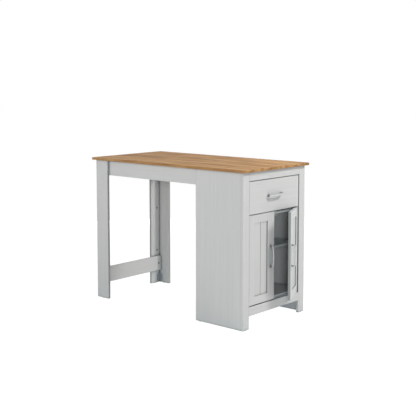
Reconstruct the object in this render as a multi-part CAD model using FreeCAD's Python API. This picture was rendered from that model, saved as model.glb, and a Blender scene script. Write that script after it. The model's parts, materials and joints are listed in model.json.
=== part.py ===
import FreeCAD, Part
import math
import os

# Counter-height kitchen table whose far end stands on a cabinet with a drawer and two doors.
# Millimetres, +Z up. The origin is on the floor under the middle of the top, and +X points
# to the cabinet front. Left and right are as seen by someone who faces the doors: left is -Y.

V = FreeCAD.Vector
X = V(1, 0, 0)
Y = V(0, 1, 0)
Z = V(0, 0, 1)
ORIGIN = V(0, 0, 0)

# Table top
TOP_LENGTH = 1200.0
TOP_WIDTH = 600.0
TOP_HEIGHT = 875.0
TOP_THICKNESS = 15.0
TOP_OVERHANG = 18.0
TOP_EDGE_RADIUS = 1.5

# Boards of the frame
BOARD = 15.0
BOARD_ARRIS = 0.8
GLIDE_HEIGHT = 3.0
GLIDE_RADIUS = 7.0
GLIDE_END_DISTANCE = 28.0

# Legs, stretcher and aprons
LEG_SIDE_WIDTH = 100.0
LEG_END_WIDTH = 78.0
RIGHT_LEG_INSET = 12.0
STRETCHER_HEIGHT = 96.0
STRETCHER_FLOOR_GAP = 87.0
APRON_HEIGHT = 91.0
LEG_CAM_HEIGHTS = (222.0, 505.0)

# Steel corner brackets at the foot of each leg
FOOT_BRACKET_WING = 25.0
FOOT_BRACKET_HEIGHT = 54.0
FOOT_BRACKET_FLOOR_GAP = 14.0
FOOT_BRACKET_SHEET = 2.0
FOOT_BRACKET_BEVEL = 15.0

# Cabinet
FACE_FRAME_THICKNESS = 15.0
STILE_WIDTH = 53.0
TOP_RAIL_HEIGHT = 49.0
BOTTOM_RAIL_HEIGHT = 49.0
BOTTOM_RAIL_FLOOR_GAP = 75.0
BACK_THICKNESS = 12.0
DIVIDER_DEPTH = 70.0
DIVIDER_DROP = 5.0
SHELF_HEIGHT = 412.0
SHELF_SETBACK = 40.0
SHELF_SIDE_GAP = 1.0
SHELF_BACK_GAP = 2.0
SHELF_PIN_RADIUS = 2.5
SHELF_PIN_DEPTH = 8.0
SHELF_PIN_REACH = 10.0
SHELF_PIN_TONGUE = 2.0
SHELF_PIN_END_DISTANCE = 45.0

# Inset fronts
FRONT_THICKNESS = 15.0
FRONT_RECESS = 3.0
FRONT_GAP = 4.0
FRONT_ARRIS = 1.0
DRAWER_FRONT_HEIGHT = 180.0

# Sunk field of the doors, with one groove down its middle
FIELD_DEPTH = 5.0
FIELD_HINGE_MARGIN = 46.0
FIELD_FREE_MARGIN = 61.0
FIELD_END_MARGIN = 46.0
GROOVE_WIDTH = 3.0
GROOVE_DEPTH = 1.5

# Bow handles, a flat bar with eased edges, bent out from two feet
HANDLE_SPAN = 118.0
HANDLE_REACH = 22.0
HANDLE_WIDTH = 12.0
HANDLE_THICKNESS = 7.0
HANDLE_EASE = 2.0
HANDLE_CORNER_RADIUS = 9.0
HANDLE_BOW_RADIUS = 500.0
DOOR_HANDLE_EDGE_DISTANCE = 34.0
SCREW_RADIUS = 2.0
SCREW_GRIP = 8.0
SCREW_HEAD_RADIUS = 4.0
SCREW_HEAD_HEIGHT = 2.5
SCREW_HOLE_PLAY = 0.3

# Pivot hinges of the doors
PIVOT_FROM_FACE = 5.5
PIVOT_FROM_EDGE = 8.0
PIVOT_PIN_RADIUS = 2.0
PIVOT_PIN_REACH = 10.0
PIVOT_PLAY = 0.05
PIVOT_PLATE_SHEET = 1.5
PIVOT_PLATE_HALF_WIDTH = 4.0
PIVOT_PLATE_LENGTH = 28.0
PIVOT_BUSH_RADIUS = 3.6
PIVOT_LEAF_HEIGHT = 30.0
WASHER_RADIUS = 4.0
RUNNING_GAP = 0.3
SWING_CLEARANCE = 0.7
RIGHT_DOOR_AJAR_DEG = 26.0

# Magnetic catches
CATCH_WIDTH = 32.0
CATCH_DEPTH = 18.0
CATCH_HEIGHT = 12.0
CATCH_FROM_MIDDLE = 32.0
CATCH_EDGE_BEVEL = 2.0
STRIKE_WIDTH = 20.0
STRIKE_HEIGHT = 10.0
STRIKE_SHEET = 1.0

# Drawer box
DRAWER_DEPTH = 289.0
DRAWER_BACK_CLEARANCE = 21.0
DRAWER_SIDE_THICKNESS = 12.0
DRAWER_SIDE_HEIGHT = 120.0
DRAWER_SIDE_RISE = 22.0
DRAWER_BOTTOM_THICKNESS = 3.0
DRAWER_BOTTOM_RISE = 10.0
DRAWER_BOTTOM_GROOVE = 6.0

# Drawer slides: a channel on the cabinet, a strip on the drawer, nylon shoes between them
SLIDE_SPACE = 12.5
SLIDE_SHEET = 1.2
CHANNEL_HEIGHT = 34.0
CHANNEL_DEPTH = 10.0
CHANNEL_RISE = 14.0
CHANNEL_BACK_GAP = 8.0
CHANNEL_FRONT_GAP = 3.0
SHOE_LENGTH = 22.0
SHOE_HEIGHT = 22.0
SHOE_SIDE_GAP = 0.5
STRIP_HEIGHT = 26.0
STRIP_FLANGE = 7.0
STRIP_FRONT_GAP = 2.0
BATTEN_HEIGHT = 54.0

# Cam locks and dowels that join the boards
CAM_RADIUS = 7.4
CAM_DEPTH = 10.0
CAM_EDGE_DISTANCE = 24.0
CAM_BOLT_RADIUS = 3.0
CAM_THREAD_RADIUS = 2.5
CAM_THREAD_LENGTH = 9.0
DOWEL_RADIUS = 4.0
DOWEL_REACH = 15.0
DOWEL_FACE_SEAT = 8.0
DOWEL_END_DISTANCE = 12.0
DOWEL_APRON_EDGE_DISTANCE = 25.0
DOWEL_BOTTOM_END_DISTANCE = 60.0
BORE_PLAY = 0.1

# Steel angles that hold the top
TOP_ANGLE_LEG = 20.0
TOP_ANGLE_WIDTH = 18.0
TOP_ANGLE_SHEET = 1.5
TOP_ANGLE_END_DISTANCE = 200.0

# Planes and levels worked out from the sizes above
x_front = TOP_LENGTH / 2 - TOP_OVERHANG
x_end = -x_front
y_side = TOP_WIDTH / 2 - TOP_OVERHANG
y_inner = y_side - BOARD
z_under_top = TOP_HEIGHT - TOP_THICKNESS
x_leg_inner = x_end + BOARD
x_frame_back = x_front - FACE_FRAME_THICKNESS
x_inset = x_front - FRONT_RECESS
x_front_back = x_inset - FRONT_THICKNESS
x_drawer_back = x_front_back - DRAWER_DEPTH
x_back_inner = x_drawer_back - DRAWER_BACK_CLEARANCE
x_cabinet_back = x_back_inner - BACK_THICKNESS
y_opening = y_side - STILE_WIDTH
z_sill = BOTTOM_RAIL_FLOOR_GAP + BOTTOM_RAIL_HEIGHT
z_head = z_under_top - TOP_RAIL_HEIGHT
z_drawer_top = z_head - FRONT_GAP
z_drawer_bottom = z_drawer_top - DRAWER_FRONT_HEIGHT
z_door_top = z_drawer_bottom - FRONT_GAP
z_door_bottom = z_sill + FRONT_GAP
z_apron = z_under_top - APRON_HEIGHT
y_hinge_edge = y_opening - FRONT_GAP
y_free_edge = FRONT_GAP / 2
x_pivot = x_inset - PIVOT_FROM_FACE
y_pivot = y_hinge_edge - PIVOT_FROM_EDGE
# The hinge edge of an opening door swings back by its tail, so boards behind stay clear of it.
door_tail = math.hypot(FRONT_THICKNESS - PIVOT_FROM_FACE, PIVOT_FROM_EDGE)
x_inside_front = x_pivot - door_tail - SWING_CLEARANCE
z_divider_top = z_door_top - DIVIDER_DROP
y_drawer = y_opening - SLIDE_SPACE
z_drawer_side = z_drawer_bottom + DRAWER_SIDE_RISE
z_channel = z_drawer_side + CHANNEL_RISE


# Basic solids
def block(x0, x1, y0, y1, z0, z1):
    return Part.makeBox(x1 - x0, y1 - y0, z1 - z0, V(x0, y0, z0))


def rod(radius, start, way, length):
    return Part.makeCylinder(radius, length, start, way)


def peg(radius, start, way, length):
    """A pin, bore or washer that stays hidden, six-sided so that it costs few faces."""
    side = Z if abs(way.dot(Z)) < 0.5 else X
    up = way.cross(side)
    turns = [i * math.pi / 3 for i in range(6)]
    ring = [start + (side * math.cos(a) + up * math.sin(a)) * radius for a in turns]
    return extruded(ring, way * length)


def edges_along(shape, axis):
    return [e for e in shape.Edges if abs(e.tangentAt(e.FirstParameter).dot(axis)) > 0.99]


def board(x0, x1, y0, y1, z0, z1, along):
    """A board whose long arrises are eased."""
    plank = block(x0, x1, y0, y1, z0, z1)
    return plank.makeChamfer(BOARD_ARRIS, edges_along(plank, along))


def inset_front(y0, y1, z0, z1):
    """A drawer or door front, set back a little from the face frame, with eased front edges."""
    plank = block(x_front_back, x_inset, y0, y1, z0, z1)
    rim = [e for e in plank.Edges if e.BoundBox.XMin > x_inset - FRONT_ARRIS]
    return plank.makeChamfer(FRONT_ARRIS, rim)


def mirrored(shape):
    """The same piece on the right. The leg frame behind the cabinet stands in from its right side."""
    inset = RIGHT_LEG_INSET if shape.BoundBox.Center.x < x_cabinet_back else 0.0
    return shape.mirror(Y * (-inset / 2), Y)


def both(shape):
    return [shape, mirrored(shape)]


def extruded(points, way):
    """A prism on a closed outline."""
    return Part.Face(Part.makePolygon(points + points[:1])).extrude(way)


def bored(wood, cutters):
    """A board with every hole and housing that reaches it."""
    for cutter in cutters:
        if wood.BoundBox.intersect(cutter.BoundBox):
            wood = wood.cut(cutter)
    return wood


# Fixings: each function returns its solids, with the holes that they need last
def cam_fixing(face_point, normal, way, thickness):
    """A cam lock let into a face, and the bolt that ties the board's end to its neighbour."""
    disc = rod(CAM_RADIUS, face_point, -normal, CAM_DEPTH)
    housing = rod(CAM_RADIUS + BORE_PLAY, face_point, -normal, CAM_DEPTH + BORE_PLAY)
    middle = face_point - normal * (thickness / 2)
    start = middle + way * (CAM_RADIUS + BORE_PLAY)
    seam = middle + way * CAM_EDGE_DISTANCE
    shank_length = CAM_EDGE_DISTANCE - CAM_RADIUS - BORE_PLAY
    shank = peg(CAM_BOLT_RADIUS, start, way, shank_length)
    bolt = shank.fuse(peg(CAM_THREAD_RADIUS, seam, way, CAM_THREAD_LENGTH))
    shank_bore = peg(CAM_BOLT_RADIUS + BORE_PLAY, middle, way, CAM_EDGE_DISTANCE)
    thread_bore = peg(CAM_THREAD_RADIUS + BORE_PLAY, seam, way, CAM_THREAD_LENGTH + BORE_PLAY)
    return disc, bolt, housing.fuse([shank_bore, thread_bore])


def frame_cam_places():
    """Face point, face normal, bolt direction and board thickness of each left-hand cam."""
    y_cam = -y_inner + CAM_EDGE_DISTANCE
    places = [(V(x_leg_inner, y_cam, z), X, -Y, BOARD) for z in LEG_CAM_HEIGHTS]
    z_stretcher = STRETCHER_FLOOR_GAP + STRETCHER_HEIGHT / 2
    x_stretcher = x_leg_inner + BOARD
    places.append((V(x_stretcher, y_cam, z_stretcher), X, -Y, BOARD))
    return places


def drawer_cam_place():
    z_cam = z_drawer_side + DRAWER_SIDE_HEIGHT / 2
    y_face = -y_drawer + DRAWER_SIDE_THICKNESS
    return V(x_front_back - CAM_EDGE_DISTANCE, y_face, z_cam), Y, X, DRAWER_SIDE_THICKNESS


def dowel_pair(seam, way, apart, seat):
    """Two dowels across a seam, their ends seated in the board behind it, and their bores."""
    pegs = []
    bores = []
    length = seat + DOWEL_REACH
    for start in (seam - apart - way * seat, seam + apart - way * seat):
        pegs.append(peg(DOWEL_RADIUS, start, way, length))
        bore_start = start - way * BORE_PLAY
        bores.append(peg(DOWEL_RADIUS + BORE_PLAY, bore_start, way, length + 2 * BORE_PLAY))
    return pegs, bores


def face_frame_dowels():
    """Dowels on the left that join the two rails to the stile, and their bores."""
    x_middle = x_front - FACE_FRAME_THICKNESS / 2
    pegs = []
    bores = []
    for z_low, z_high in ((BOTTOM_RAIL_FLOOR_GAP, z_sill), (z_head, z_under_top)):
        seam = V(x_middle, -y_opening, (z_low + z_high) / 2)
        apart = Z * ((z_high - z_low) / 2 - DOWEL_END_DISTANCE)
        joint_pegs, joint_bores = dowel_pair(seam, Y, apart, DOWEL_REACH)
        pegs += joint_pegs
        bores += joint_bores
    return pegs, bores


def board_dowels():
    """Dowels on the left at the ends of the aprons, the divider and the cabinet bottom, and their bores."""
    y_apron = -y_inner + BOARD / 2
    z_middle = (z_apron + z_under_top) / 2
    apart = Z * (APRON_HEIGHT / 2 - DOWEL_APRON_EDGE_DISTANCE)
    x_divider = x_inside_front - DIVIDER_DEPTH / 2
    divider_apart = X * (DIVIDER_DEPTH / 2 - DOWEL_END_DISTANCE)
    x_bottom = (x_back_inner + x_inside_front) / 2
    bottom_apart = X * ((x_inside_front - x_back_inner) / 2 - DOWEL_BOTTOM_END_DISTANCE)
    joints = [
        (V(x_leg_inner, y_apron, z_middle), X, apart),
        (V(x_cabinet_back, y_apron, z_middle), -X, apart),
        (V(x_leg_inner + BOARD / 2, -y_inner + BOARD, z_middle), Y, apart),
        (V(x_divider, -y_inner, z_divider_top - BOARD / 2), Y, divider_apart),
        (V(x_bottom, -y_inner, z_sill + BOARD / 2), Y, bottom_apart),
    ]
    pegs = []
    bores = []
    for seam, way, spread in joints:
        joint_pegs, joint_bores = dowel_pair(seam, way, spread, DOWEL_FACE_SEAT)
        pegs += joint_pegs
        bores += joint_bores
    return pegs, bores


def shelf_pins():
    """Spoon pins on the left that carry the shelf, and their bores in the cabinet side."""
    z_seat = SHELF_HEIGHT - BOARD
    z_pin = z_seat - SHELF_PIN_TONGUE - SHELF_PIN_RADIUS
    pins = []
    bores = []
    x_shelf_front = x_frame_back - SHELF_SETBACK
    for x in (x_back_inner + SHELF_PIN_END_DISTANCE, x_shelf_front - SHELF_PIN_END_DISTANCE):
        start = V(x, -y_inner - SHELF_PIN_DEPTH, z_pin)
        stem = peg(SHELF_PIN_RADIUS, start, Y, SHELF_PIN_DEPTH + SHELF_PIN_REACH)
        half = SHELF_PIN_RADIUS
        y_tip = -y_inner + SHELF_PIN_REACH
        tongue = block(x - half, x + half, -y_inner, y_tip, z_pin, z_seat)
        pins.append(stem.fuse(tongue).removeSplitter())
        bore_length = SHELF_PIN_DEPTH + BORE_PLAY
        bore_start = start - Y * BORE_PLAY
        bores.append(peg(SHELF_PIN_RADIUS + BORE_PLAY, bore_start, Y, bore_length))
    return pins, bores


def handle_side_view(offset):
    """The area behind the bar's middle line moved out by offset: two feet, two corners and a bow."""
    corner = HANDLE_CORNER_RADIUS + offset
    half = HANDLE_SPAN / 2 + offset
    bow = HANDLE_BOW_RADIUS + offset
    reach = HANDLE_REACH + offset
    lean = math.asin((half - corner) / (bow - corner))
    foot = reach - bow + (bow - corner) * math.cos(lean)
    turn = (math.pi / 2 + lean) / 2

    def on_corner(angle, side):
        out = foot + corner * math.cos(angle)
        return V(out, 0, side * (half - corner + corner * math.sin(angle)))

    low = [V(0, 0, -half), V(foot, 0, -half), on_corner(turn, -1), on_corner(lean, -1)]
    high = [on_corner(lean, 1), on_corner(turn, 1), V(foot, 0, half), V(0, 0, half)]
    return Part.Face(Part.Wire([
        Part.LineSegment(low[0], low[1]).toShape(),
        Part.Arc(low[1], low[2], low[3]).toShape(),
        Part.Arc(low[3], V(reach, 0, 0), high[0]).toShape(),
        Part.Arc(high[0], high[1], high[2]).toShape(),
        Part.LineSegment(high[2], high[3]).toShape(),
        Part.LineSegment(high[3], low[0]).toShape(),
    ]))


def bow_handle():
    """An upright handle on the plane X = 0, with a tapped hole in each foot, and its two screws."""
    half = HANDLE_THICKNESS / 2
    width = Y * HANDLE_WIDTH
    bar = handle_side_view(half).extrude(width)
    rims = [e for e in bar.Edges if e.BoundBox.YLength < HANDLE_EASE < e.BoundBox.XMax]
    bar = bar.makeChamfer(HANDLE_EASE, rims).cut(handle_side_view(-half).extrude(width))
    bar.translate(-width / 2)
    screws = []
    for z in (-HANDLE_SPAN / 2, HANDLE_SPAN / 2):
        bar = bar.cut(peg(SCREW_RADIUS + PIVOT_PLAY, V(0, 0, z), X, SCREW_GRIP + BORE_PLAY))
        back = V(-FRONT_THICKNESS, 0, z)
        shank = peg(SCREW_RADIUS, back, X, FRONT_THICKNESS + SCREW_GRIP)
        head = rod(SCREW_HEAD_RADIUS, back, -X, SCREW_HEAD_HEIGHT)
        screws.append(shank.fuse(head))
    return bar, screws


def handle_holes():
    """Through holes in a front for the screws of an upright handle on the plane X = 0."""
    radius = SCREW_RADIUS + SCREW_HOLE_PLAY
    backs = [V(-FRONT_THICKNESS, 0, z) for z in (-HANDLE_SPAN / 2, HANDLE_SPAN / 2)]
    return [peg(radius, back, X, FRONT_THICKNESS) for back in backs]


def placed(shape, place, level=False):
    """A handle piece moved onto a front, lying level where asked."""
    copy = shape.copy()
    if level:
        copy.rotate(ORIGIN, X, 90)
    copy.translate(place)
    return copy


# Pivot hinge of the left door
def pivot_strip(y0, y1, z0, z1):
    """A flat plate round the pivot line, as wide as the hinge plates are."""
    half = PIVOT_PLATE_HALF_WIDTH
    return block(x_pivot - half, x_pivot + half, y0, y1, z0, z1)


def pivot_hole(z0, z1, radius):
    return rod(radius, V(x_pivot, -y_pivot, z0), Z, z1 - z0)


def lower_hinge():
    """Plate housed in the bottom rail, its pin and washer, and the housing."""
    y_end = -y_opening + PIVOT_PLATE_LENGTH
    z_plate = z_sill - PIVOT_PLATE_SHEET
    z_tip = z_door_bottom + PIVOT_PIN_REACH
    plate = pivot_strip(-y_opening, y_end, z_plate, z_sill)
    plate = plate.cut(pivot_hole(z_plate, z_sill, PIVOT_PIN_RADIUS))
    pin = pivot_hole(z_plate, z_tip, PIVOT_PIN_RADIUS)
    z_washer = z_door_bottom - RUNNING_GAP
    washer = peg(WASHER_RADIUS, V(x_pivot, -y_pivot, z_sill), Z, z_washer - z_sill)
    washer = washer.cut(pivot_hole(z_sill, z_washer, PIVOT_PIN_RADIUS + PIVOT_PLAY))
    housing = pivot_strip(-y_opening, y_end + BORE_PLAY, z_plate, z_sill)
    return plate, pin, washer, housing


def upper_hinge():
    """Angle plate housed in the stile, with its tongue in the gap over the door, and its pin."""
    z_tongue = z_door_top + (FRONT_GAP - PIVOT_PLATE_SHEET) / 2
    z_over = z_tongue + PIVOT_PLATE_SHEET
    y_root = -y_opening - PIVOT_PLATE_SHEET
    y_tip = -y_pivot + PIVOT_PLATE_HALF_WIDTH
    tongue = pivot_strip(y_root, y_tip, z_tongue, z_over)
    leaf = pivot_strip(y_root, -y_opening, z_tongue, z_tongue + PIVOT_LEAF_HEIGHT)
    plate = tongue.fuse(leaf).removeSplitter()
    plate = plate.cut(pivot_hole(z_tongue, z_over, PIVOT_PIN_RADIUS))
    pin = pivot_hole(z_door_top - PIVOT_PIN_REACH, z_over, PIVOT_PIN_RADIUS)
    z_housing = z_tongue + PIVOT_LEAF_HEIGHT + BORE_PLAY
    housing = pivot_strip(y_root, -y_opening, z_tongue - BORE_PLAY, z_housing)
    return plate, pin, housing


def door_pivot_plate(z_edge, inward):
    """Plate with a six-sided bush, let into an end of the left door, and its housing."""
    y_start = -y_hinge_edge + BOARD_ARRIS
    y_end = y_start + PIVOT_PLATE_LENGTH
    z_deep = z_edge + inward * PIVOT_PLATE_SHEET
    z_bush = z_edge + inward * (PIVOT_PIN_REACH + RUNNING_GAP)
    low, high = sorted((z_edge, z_deep))
    bottom, top = sorted((z_edge, z_bush))
    flat = pivot_strip(y_start, y_end, low, high)
    foot = V(x_pivot, -y_pivot, bottom)
    bush = peg(PIVOT_BUSH_RADIUS, foot, Z, top - bottom)
    plate = flat.fuse(bush).cut(pivot_hole(bottom, top, PIVOT_PIN_RADIUS + PIVOT_PLAY))
    wide = pivot_strip(y_start - BORE_PLAY, y_end + BORE_PLAY, low, high)
    housing = wide.fuse(peg(PIVOT_BUSH_RADIUS + BORE_PLAY, foot, Z, top - bottom))
    return plate.removeSplitter(), housing


# Doors
def door_field():
    """The field sunk into the left door's face, and the groove that parts it into two planks."""
    y_low = -y_hinge_edge + FIELD_HINGE_MARGIN
    y_high = -y_free_edge - FIELD_FREE_MARGIN
    z_low = z_door_bottom + FIELD_END_MARGIN
    z_high = z_door_top - FIELD_END_MARGIN
    x_field = x_inset - FIELD_DEPTH
    y_middle = (y_low + y_high) / 2
    half = GROOVE_WIDTH / 2
    field = block(x_field, x_inset, y_low, y_high, z_low, z_high)
    return field.fuse(block(x_field - GROOVE_DEPTH, x_inset, y_middle - half, y_middle + half, z_low, z_high))


def left_door():
    """Panel, handle, screws, pivot plates and strike plate of the closed left door."""
    y_handle = -y_free_edge - DOOR_HANDLE_EDGE_DISTANCE
    place = V(x_inset, y_handle, (z_door_bottom + z_door_top) / 2)
    handle, screws = bow_handle()
    holes = [placed(hole, place) for hole in handle_holes()]
    low_plate, low_housing = door_pivot_plate(z_door_bottom, 1)
    high_plate, high_housing = door_pivot_plate(z_door_top, -1)
    panel = inset_front(-y_hinge_edge, -y_free_edge, z_door_bottom, z_door_top)
    panel = bored(panel, holes + [door_field(), low_housing, high_housing])
    return {
        "panel": [panel],
        "handle": [placed(handle, place)],
        "handle_screws": [placed(screw, place) for screw in screws],
        "pivot_plates": [low_plate, high_plate],
        "strike_plate": [strike_plate()],
    }


def strike_plate():
    y_middle = -CATCH_FROM_MIDDLE
    z_middle = z_divider_top - BOARD - CATCH_HEIGHT / 2
    half_y = STRIKE_WIDTH / 2
    half_z = STRIKE_HEIGHT / 2
    x_face = x_front_back - STRIKE_SHEET
    return block(x_face, x_front_back, y_middle - half_y, y_middle + half_y,
                 z_middle - half_z, z_middle + half_z)


def door_catch():
    """Magnetic catch under the divider, just behind the left door's strike plate."""
    x_face = x_front_back - STRIKE_SHEET - RUNNING_GAP
    z_seat = z_divider_top - BOARD
    half = CATCH_WIDTH / 2
    body = block(x_face - CATCH_DEPTH, x_face, -CATCH_FROM_MIDDLE - half,
                 -CATCH_FROM_MIDDLE + half, z_seat - CATCH_HEIGHT, z_seat)
    return body.makeChamfer(CATCH_EDGE_BEVEL, edges_along(body, Z))


def ajar(shape):
    """A right-door piece turned open about the right-hand pivot line."""
    copy = shape.copy()
    copy.rotate(V(x_pivot, y_pivot, 0), Z, RIGHT_DOOR_AJAR_DEG)
    return copy


# Drawer
def drawer_bottom_groove(y0, y1, x0, x1):
    z_low = z_drawer_side + DRAWER_BOTTOM_RISE
    z_high = z_low + DRAWER_BOTTOM_THICKNESS
    return block(x0, x1, y0, y1, z_low - BORE_PLAY, z_high + BORE_PLAY)


def drawer_box():
    """Front, sides, back and bottom of the drawer, with its two cam joints."""
    y_in = y_drawer - DRAWER_SIDE_THICKNESS
    y_panel = y_in + DRAWER_BOTTOM_GROOVE - BORE_PLAY
    x_panel = x_front_back + DRAWER_BOTTOM_GROOVE - BORE_PLAY
    z_high = z_drawer_side + DRAWER_SIDE_HEIGHT
    z_panel = z_drawer_side + DRAWER_BOTTOM_RISE
    z_panel_top = z_panel + DRAWER_BOTTOM_THICKNESS
    disc, bolt, cutter = cam_fixing(*drawer_cam_place())
    groove_half = y_in + DRAWER_BOTTOM_GROOVE
    groove = drawer_bottom_groove(-groove_half, groove_half, x_drawer_back,
                                  x_front_back + DRAWER_BOTTOM_GROOVE)
    side = board(x_drawer_back, x_front_back, -y_drawer, -y_in, z_drawer_side, z_high, X)
    side = bored(side, [cutter, groove])
    front = inset_front(-y_opening + FRONT_GAP, y_opening - FRONT_GAP, z_drawer_bottom, z_drawer_top)
    place = V(x_inset, 0, (z_drawer_bottom + z_drawer_top) / 2)
    handle, screws = bow_handle()
    holes = [placed(hole, place, True) for hole in handle_holes()]
    front = bored(front, both(cutter) + [groove] + holes)
    x_back_face = x_drawer_back + DRAWER_SIDE_THICKNESS
    return {
        "drawer_front": [front],
        "drawer_left_side": [side],
        "drawer_right_side": [mirrored(side)],
        "drawer_back": [board(x_drawer_back, x_back_face, -y_in, y_in, z_panel_top, z_high, Y)],
        "drawer_bottom": [block(x_drawer_back, x_panel, -y_panel, y_panel, z_panel, z_panel_top)],
        "drawer_handle": [placed(handle, place, True)],
        "drawer_handle_screws": [placed(screw, place, True) for screw in screws],
        "drawer_cams": both(disc),
        "drawer_cam_bolts": both(bolt),
    }


def drawer_slide():
    """Channel and front shoe on the cabinet, strip and rear shoe on the drawer, left hand."""
    x_back = x_back_inner + CHANNEL_BACK_GAP
    x_tip = x_front_back - CHANNEL_FRONT_GAP
    y_web = -y_opening + SLIDE_SHEET
    y_lip = -y_opening + CHANNEL_DEPTH
    z_floor = z_channel + SLIDE_SHEET
    z_roof = z_channel + CHANNEL_HEIGHT - SLIDE_SHEET
    outer = block(x_back, x_tip, -y_opening, y_lip, z_channel, z_channel + CHANNEL_HEIGHT)
    channel = outer.cut(block(x_back, x_tip, y_web, y_lip, z_floor, z_roof))
    y_strip = -y_drawer - SLIDE_SHEET
    front_shoe = block(x_tip - SHOE_LENGTH, x_tip, y_web, y_strip - SHOE_SIDE_GAP,
                       z_floor, z_floor + SHOE_HEIGHT)
    z_flange = z_floor + SHOE_HEIGHT + RUNNING_GAP
    z_flange_top = z_flange + SLIDE_SHEET
    x_strip = x_front_back - STRIP_FRONT_GAP
    web = block(x_drawer_back, x_strip, y_strip, -y_drawer, z_flange_top - STRIP_HEIGHT, z_flange_top)
    x_flange = x_drawer_back + SHOE_LENGTH
    flange = block(x_flange, x_strip, y_strip - STRIP_FLANGE, y_strip, z_flange, z_flange_top)
    strip = web.fuse(flange).removeSplitter()
    rear_shoe = block(x_drawer_back, x_flange, y_web + RUNNING_GAP, y_strip,
                      z_floor + RUNNING_GAP, z_roof - RUNNING_GAP)
    return channel, front_shoe, strip, rear_shoe


def runner_batten():
    """Packing on the left side panel, level with the face-frame opening."""
    z_middle = z_channel + CHANNEL_HEIGHT / 2
    z_low = z_middle - BATTEN_HEIGHT / 2
    return board(x_back_inner, x_frame_back, -y_inner, -y_opening, z_low, z_low + BATTEN_HEIGHT, X)


# Frame
def table_top():
    x_half = TOP_LENGTH / 2
    y_half = TOP_WIDTH / 2
    slab = block(-x_half, x_half, -y_half, y_half, z_under_top, TOP_HEIGHT)
    return slab.makeFillet(TOP_EDGE_RADIUS, edges_along(slab, X) + edges_along(slab, Y))


def leg_boards():
    """Side board and end board of the left leg."""
    x_edge = x_end + LEG_SIDE_WIDTH
    y_edge = -y_inner + LEG_END_WIDTH
    side = board(x_end, x_edge, -y_side, -y_inner, GLIDE_HEIGHT, z_under_top, Z)
    end = board(x_end, x_leg_inner, -y_inner, y_edge, GLIDE_HEIGHT, z_under_top, Z)
    return side, end


def foot_bracket():
    """Bent steel plate in the corner at the foot of the left leg, with bevelled wings."""
    sheet = FOOT_BRACKET_SHEET
    wing = FOOT_BRACKET_WING
    corner = V(x_leg_inner, -y_inner, FOOT_BRACKET_FLOOR_GAP)
    steps = [(0, 0), (wing, 0), (wing, sheet), (sheet, sheet), (sheet, wing), (0, wing)]
    outline = [corner + V(x, y, 0) for x, y in steps]
    plate = extruded(outline, Z * FOOT_BRACKET_HEIGHT)
    tips = [V(wing, 0, FOOT_BRACKET_HEIGHT), V(0, wing, FOOT_BRACKET_HEIGHT)]
    for tip, along, across in ((tips[0], X, Y), (tips[1], Y, X)):
        top = corner + tip
        bevel = [top, top - along * FOOT_BRACKET_BEVEL, top - Z * FOOT_BRACKET_BEVEL]
        plate = plate.cut(extruded(bevel, across * sheet))
    return plate


def glides():
    """Nail-in glides under the left leg and the left side of the cabinet."""
    y_board = -(y_side + y_inner) / 2
    x_stile = x_front - FACE_FRAME_THICKNESS / 2
    spots = [
        (x_end + LEG_SIDE_WIDTH / 2, y_board),
        (x_end + BOARD / 2, -y_inner + LEG_END_WIDTH / 2),
        (x_cabinet_back + GLIDE_END_DISTANCE, y_board),
        (x_stile, -(y_side + y_opening) / 2),
    ]
    return [rod(GLIDE_RADIUS, V(x, y, 0), Z, GLIDE_HEIGHT) for x, y in spots]


def cabinet_side():
    return board(x_cabinet_back, x_frame_back, -y_side, -y_inner, GLIDE_HEIGHT, z_under_top, Z)


def stile():
    return board(x_frame_back, x_front, -y_side, -y_opening, GLIDE_HEIGHT, z_under_top, Z)


def cross_boards():
    """Boards that run from the left side to the right side."""
    x_rib = x_leg_inner + BOARD
    y_leg = y_inner - RIGHT_LEG_INSET
    z_low = STRETCHER_FLOOR_GAP
    x_divider = x_inside_front - DIVIDER_DEPTH
    z_divider = z_divider_top - BOARD
    y_shelf = y_inner - SHELF_SIDE_GAP
    x_shelf = x_back_inner + SHELF_BACK_GAP
    x_shelf_front = x_frame_back - SHELF_SETBACK
    z_shelf = SHELF_HEIGHT - BOARD
    z_rail = BOTTOM_RAIL_FLOOR_GAP
    return {
        "leg_stretcher": board(x_leg_inner, x_rib, -y_inner, y_leg, z_low, z_low + STRETCHER_HEIGHT, Y),
        "end_apron": board(x_leg_inner, x_rib, BOARD - y_inner, y_leg - BOARD, z_apron, z_under_top, Y),
        "cabinet_back": block(x_cabinet_back, x_back_inner, -y_inner, y_inner, z_sill, z_under_top),
        "cabinet_bottom": board(x_back_inner, x_inside_front, -y_inner, y_inner, z_sill, z_sill + BOARD, Y),
        "cabinet_shelf": board(x_shelf, x_shelf_front, -y_shelf, y_shelf, z_shelf, SHELF_HEIGHT, Y),
        "divider_rail": board(x_divider, x_inside_front, -y_inner, y_inner, z_divider, z_divider_top, Y),
        "top_rail": board(x_frame_back, x_front, -y_opening, y_opening, z_head, z_under_top, Y),
        "bottom_rail": board(x_frame_back, x_front, -y_opening, y_opening, z_rail, z_sill, Y),
    }


def left_apron():
    return board(x_leg_inner, x_cabinet_back, -y_inner, -y_inner + BOARD, z_apron, z_under_top, X)


def top_angle(place, inward, along):
    """A steel angle under the top: one leg on a board's inner face, one leg on the top."""
    leg = TOP_ANGLE_LEG
    sheet = TOP_ANGLE_SHEET
    steps = [(0, 0), (leg, 0), (leg, sheet), (sheet, sheet), (sheet, leg), (0, leg)]
    start = place - along * (TOP_ANGLE_WIDTH / 2)
    return extruded([start + inward * a - Z * b for a, b in steps], along * TOP_ANGLE_WIDTH)


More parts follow.
